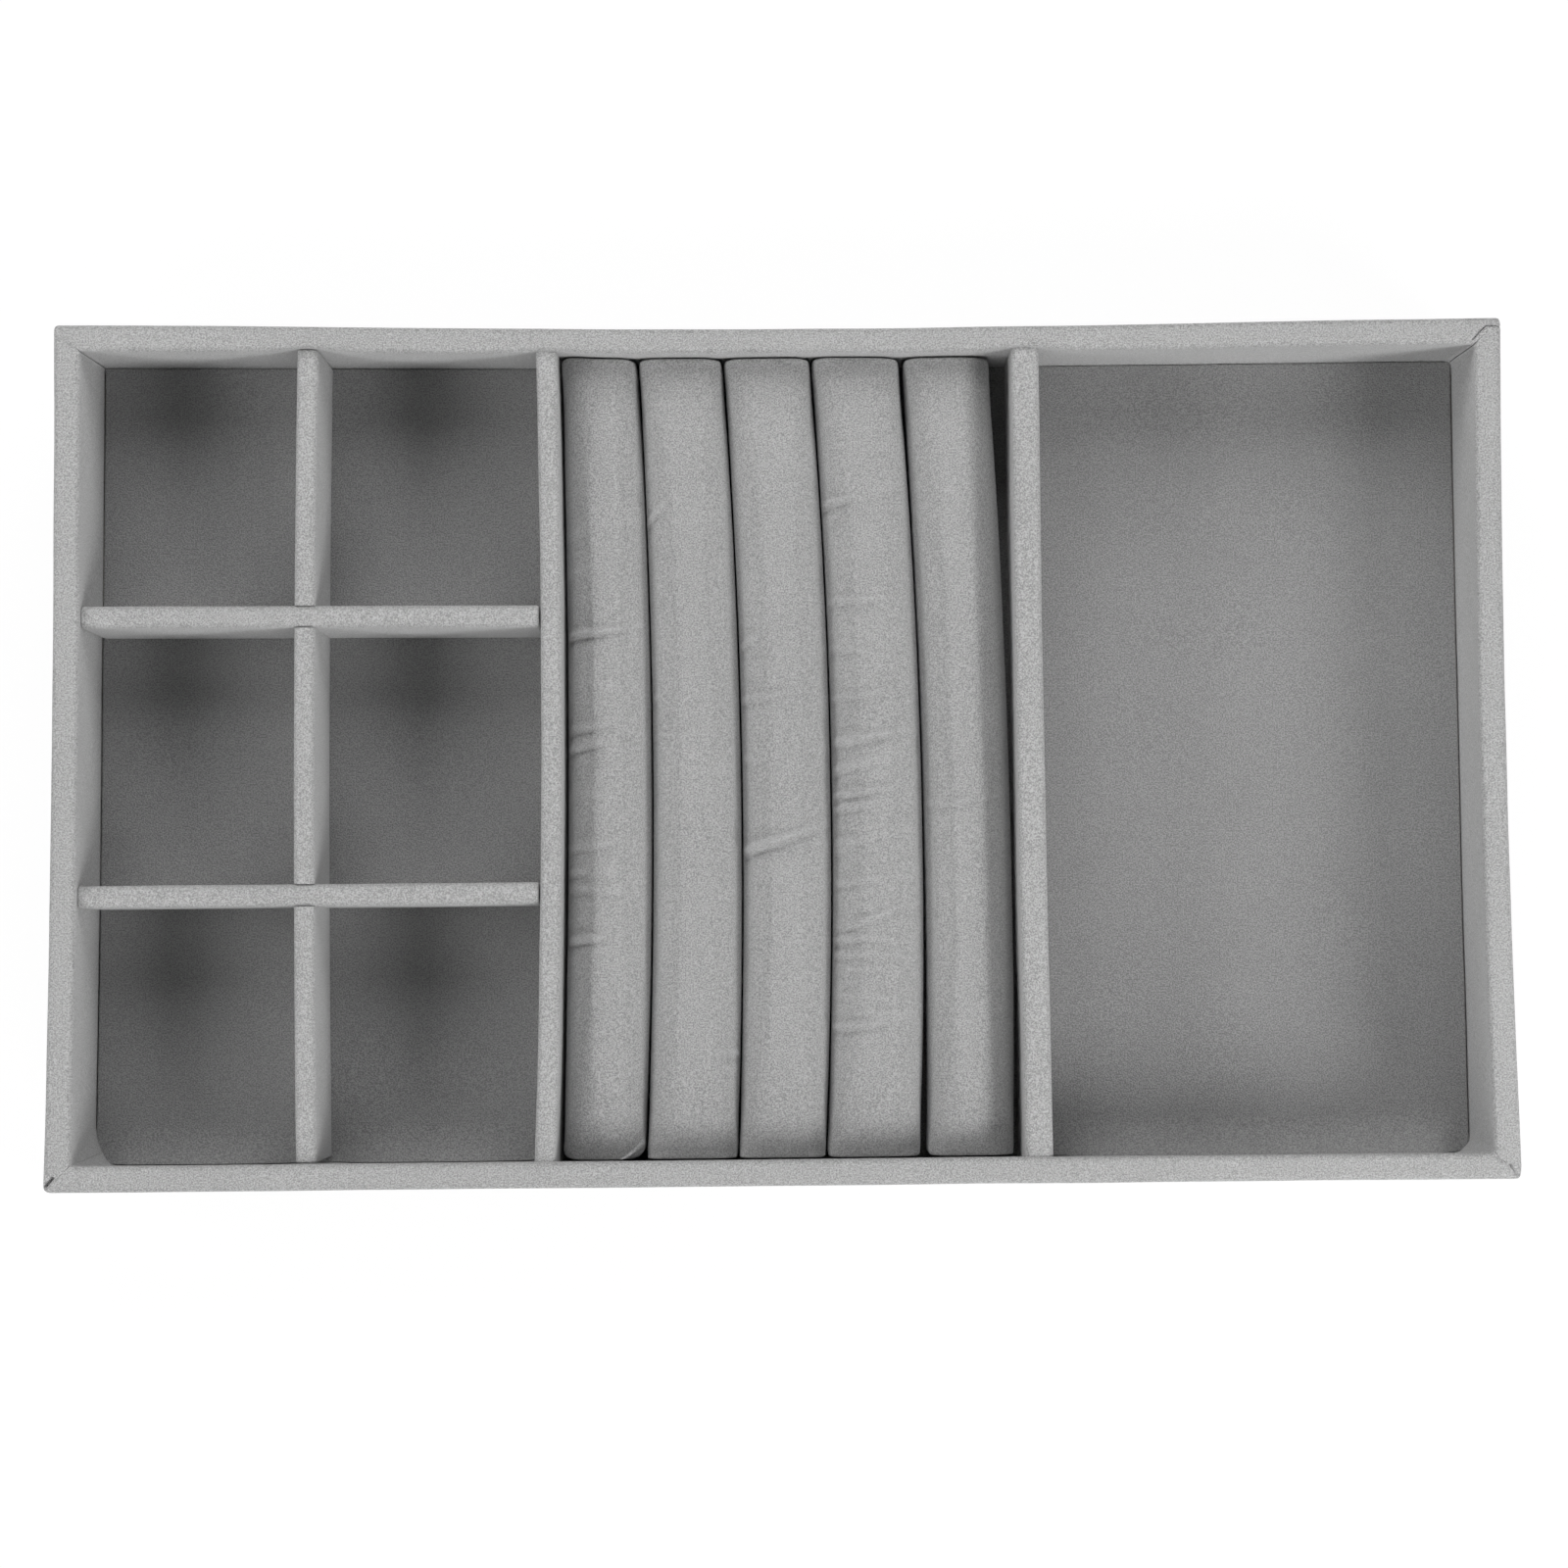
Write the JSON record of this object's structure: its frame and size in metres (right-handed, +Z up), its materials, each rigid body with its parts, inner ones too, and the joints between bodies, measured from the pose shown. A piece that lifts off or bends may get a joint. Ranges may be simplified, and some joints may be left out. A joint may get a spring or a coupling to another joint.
{
  "type": "jewelry tray",
  "caption": "Shallow open tray covered in grey napped cloth, with small square cells, a bay of lift-out ring rolls and one large open bay.",
  "frame": {"origin": "under the middle of the tray, on the surface it stands on", "axes": "+X along the tray towards the large bay, +Y to the rear, +Z up out of the open top"},
  "size_m": [0.34, 0.201, 0.04],
  "materials": {
    "wall_cloth": "light grey napped flannelette",
    "floor_cloth": "grey napped flannelette",
    "roll_cloth": "grey napped flannelette with creases",
    "underside_felt": "thin pressed felt",
    "fibreboard": "raw fibreboard",
    "card": "raw grey card",
    "foam": "open-cell foam"
  },
  "bodies": {
    "tray": {"base_liner": "underside_felt", "base_board": "fibreboard", "floor_card": "card", "floor_lining": "floor_cloth", "front_wall_board": "fibreboard", "front_wall_wrap": "wall_cloth", "rear_wall_board": "fibreboard", "rear_wall_wrap": "wall_cloth", "left_wall_board": "fibreboard", "left_wall_wrap": "wall_cloth", "right_wall_board": "fibreboard", "right_wall_wrap": "wall_cloth", "left_divider_board": "fibreboard", "left_divider_wrap": "wall_cloth", "right_divider_board": "fibreboard", "right_divider_wrap": "wall_cloth"},
    "grid_spine": {"grid_spine_board": "fibreboard", "grid_spine_wrap": "wall_cloth"},
    "rear_cross": {"rear_cross_board": "fibreboard", "rear_cross_wrap": "wall_cloth"},
    "front_cross": {"front_cross_board": "fibreboard", "front_cross_wrap": "wall_cloth"},
    "ring_roll_1": {"ring_roll_1_foam": "foam", "ring_roll_1_sleeve": "roll_cloth"},
    "ring_roll_2": {"ring_roll_2_foam": "foam", "ring_roll_2_sleeve": "roll_cloth"},
    "ring_roll_3": {"ring_roll_3_foam": "foam", "ring_roll_3_sleeve": "roll_cloth"},
    "ring_roll_4": {"ring_roll_4_foam": "foam", "ring_roll_4_sleeve": "roll_cloth"},
    "ring_roll_5": {"ring_roll_5_foam": "foam", "ring_roll_5_sleeve": "roll_cloth"}
  },
  "joints": [
    {"name": "grid_spine_lift", "type": "slide", "parent": "tray", "child": "grid_spine", "axis": [0, 0, 1], "range_m": [0, 0.045]},
    {"name": "rear_cross_lift", "type": "slide", "parent": "grid_spine", "child": "rear_cross", "axis": [0, 0, 1], "range_m": [0, 0.045]},
    {"name": "front_cross_lift", "type": "slide", "parent": "grid_spine", "child": "front_cross", "axis": [0, 0, 1], "range_m": [0, 0.045]},
    {"name": "ring_roll_1_lift", "type": "slide", "parent": "tray", "child": "ring_roll_1", "axis": [0, 0, 1], "range_m": [0, 0.045]},
    {"name": "ring_roll_2_lift", "type": "slide", "parent": "tray", "child": "ring_roll_2", "axis": [0, 0, 1], "range_m": [0, 0.045]},
    {"name": "ring_roll_3_lift", "type": "slide", "parent": "tray", "child": "ring_roll_3", "axis": [0, 0, 1], "range_m": [0, 0.045]},
    {"name": "ring_roll_4_lift", "type": "slide", "parent": "tray", "child": "ring_roll_4", "axis": [0, 0, 1], "range_m": [0, 0.045]},
    {"name": "ring_roll_5_lift", "type": "slide", "parent": "tray", "child": "ring_roll_5", "axis": [0, 0, 1], "range_m": [0, 0.045]}
  ]
}
